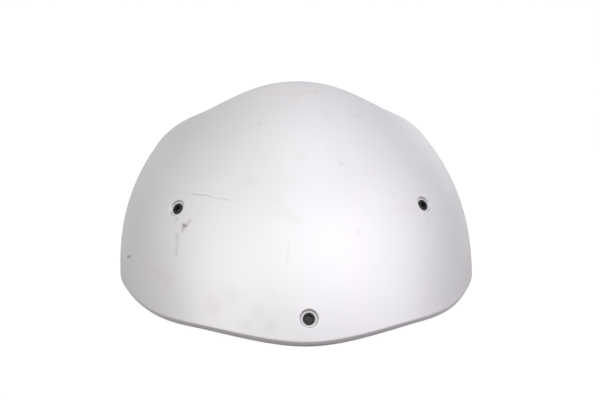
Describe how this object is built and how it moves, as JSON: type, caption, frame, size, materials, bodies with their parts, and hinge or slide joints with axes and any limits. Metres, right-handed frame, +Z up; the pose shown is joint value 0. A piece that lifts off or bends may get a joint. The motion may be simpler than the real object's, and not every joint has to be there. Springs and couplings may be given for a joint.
{
  "type": "motorcycle windscreen",
  "caption": "Domed headlight fly screen: a moulded shell with a return lip along its lower edge, and dished mounting holes that hold rubber grommets.",
  "frame": {"origin": "on the floor, under the middle of the whole screen", "axes": "+X across the screen, +Y from the nose to the rear edge, +Z up, with the screen resting on its lower edge"},
  "size_m": [0.35, 0.2722, 0.1863],
  "materials": {
    "silver_paint": "satin silver metallic paint on moulded plastic, scuffed and stained",
    "black_rubber": "dull black moulded rubber"
  },
  "bodies": {
    "root": {"screen_panel": "silver_paint", "grommet_left": "black_rubber", "grommet_right": "black_rubber", "grommet_front": "black_rubber"}
  },
  "joints": []
}
